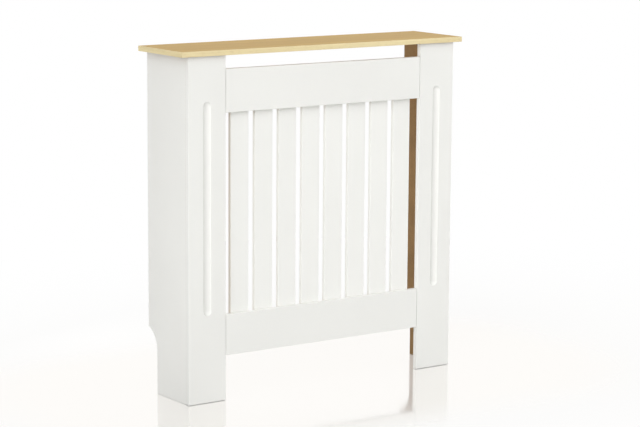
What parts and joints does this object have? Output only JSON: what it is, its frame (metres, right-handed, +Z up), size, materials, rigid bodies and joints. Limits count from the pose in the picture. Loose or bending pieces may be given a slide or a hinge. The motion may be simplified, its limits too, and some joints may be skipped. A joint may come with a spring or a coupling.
{
  "type": "radiator cover",
  "caption": "Slatted radiator cover cabinet with fluted front stiles, an open back, notched side panels and a wood-effect shelf top.",
  "frame": {"origin": "on the floor, in the middle of the top panel's footprint", "axes": "+X to the right seen from the front, +Y towards the wall, +Z up"},
  "size_m": [0.78, 0.19, 0.8],
  "materials": {
    "wood_effect_top": "wood-effect foil, matt",
    "wood_effect_edging": "wood-effect edging strip, matt",
    "white_paint": "white satin paint on fibreboard, bare brown board on the inner faces",
    "softwood": "planed softwood",
    "beech": "plain beech",
    "zinc_plated_steel": "bright zinc plating",
    "staple_wire": "galvanised wire",
    "brown_plastic": "moulded plastic"
  },
  "bodies": {
    "root": {"top_panel": "wood_effect_top", "top_front_edging": "wood_effect_edging", "top_rear_edging": "wood_effect_edging", "top_left_edging": "wood_effect_edging", "top_right_edging": "wood_effect_edging", "left_side_panel": "white_paint", "right_side_panel": "white_paint", "left_stile": "white_paint", "right_stile": "white_paint", "top_rail": "white_paint", "bottom_rail": "white_paint", "slat_1": "white_paint", "slat_2": "white_paint", "slat_3": "white_paint", "slat_4": "white_paint", "slat_5": "white_paint", "slat_6": "white_paint", "slat_7": "white_paint", "slat_8": "white_paint", "left_corner_batten": "softwood", "right_corner_batten": "softwood", "rail_dowels": "beech", "upper_left_joining_plate": "zinc_plated_steel", "upper_right_joining_plate": "zinc_plated_steel", "lower_left_joining_plate": "zinc_plated_steel", "lower_right_joining_plate": "zinc_plated_steel", "left_wall_bracket": "zinc_plated_steel", "right_wall_bracket": "zinc_plated_steel", "plate_screws": "zinc_plated_steel", "block_screws": "zinc_plated_steel", "bracket_screws": "zinc_plated_steel", "slat_staples": "staple_wire", "left_front_fixing_block": "brown_plastic", "left_rear_fixing_block": "brown_plastic", "right_front_fixing_block": "brown_plastic", "right_rear_fixing_block": "brown_plastic"}
  },
  "joints": []
}
